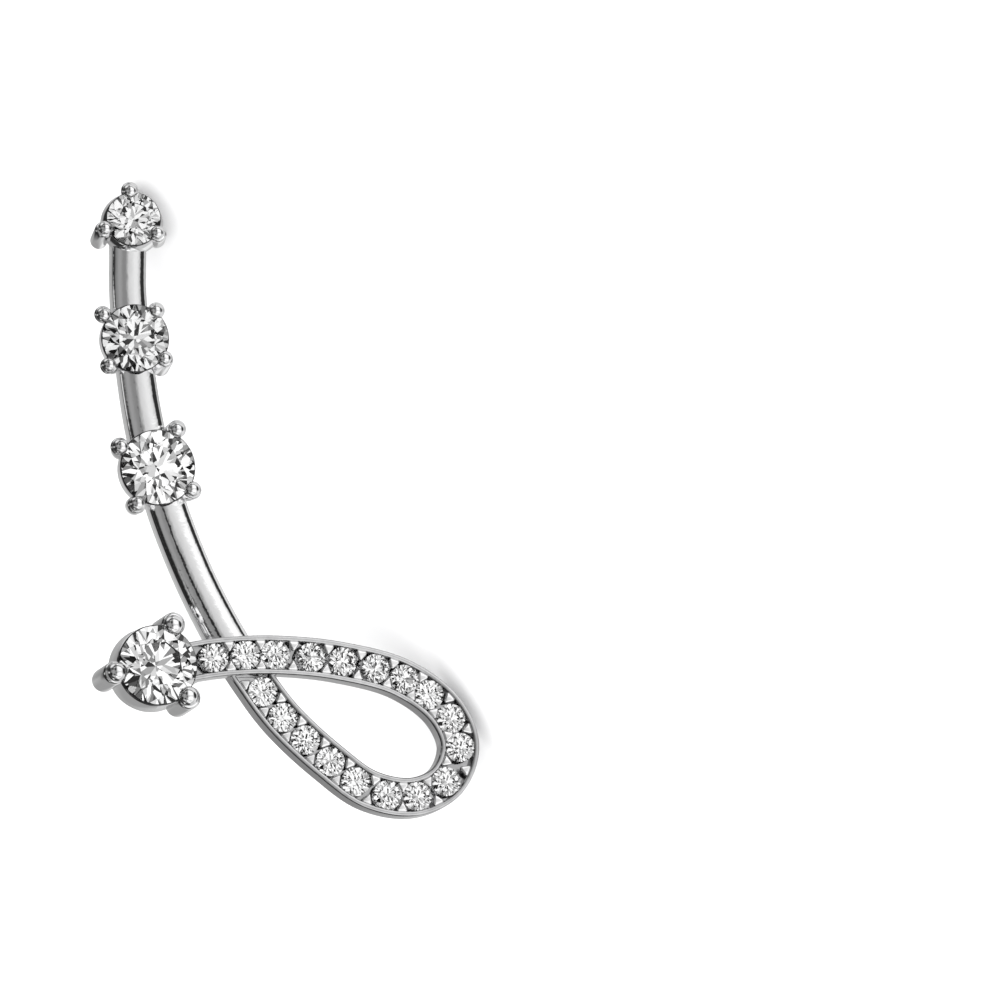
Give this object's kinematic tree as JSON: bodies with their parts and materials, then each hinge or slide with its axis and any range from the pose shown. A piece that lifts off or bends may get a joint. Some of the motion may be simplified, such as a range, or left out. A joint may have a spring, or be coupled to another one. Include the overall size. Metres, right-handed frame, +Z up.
{
  "type": "stud earring",
  "caption": "Left climber stud: half-round bar with claw-set round stones, its foot crossed by a paved ribbon loop that ends in a larger claw-set stone; straight post behind",
  "frame": {"origin": "bottom centre of the bounding box of the earring as it lies by itself on a flat surface, resting on the tip of its post, a claw of the top stone's head and the back edge of the ribbon's bend", "axes": "X along the longest side of the footprint, -Y the side that the sloping front faces, Z up"},
  "size_m": [0.0278, 0.014, 0.0117],
  "materials": {
    "silver": "mirror-polished rhodium plate on silver",
    "clear_stone": "faceted, polished, colourless",
    "small_stones": "small faceted colourless stones held by silver grains"
  },
  "bodies": {
    "root": {"stud_body": "silver", "large_stone": "clear_stone", "third_stone": "clear_stone", "second_stone": "clear_stone", "top_stone": "clear_stone", "paved_strip": "small_stones"}
  },
  "joints": []
}
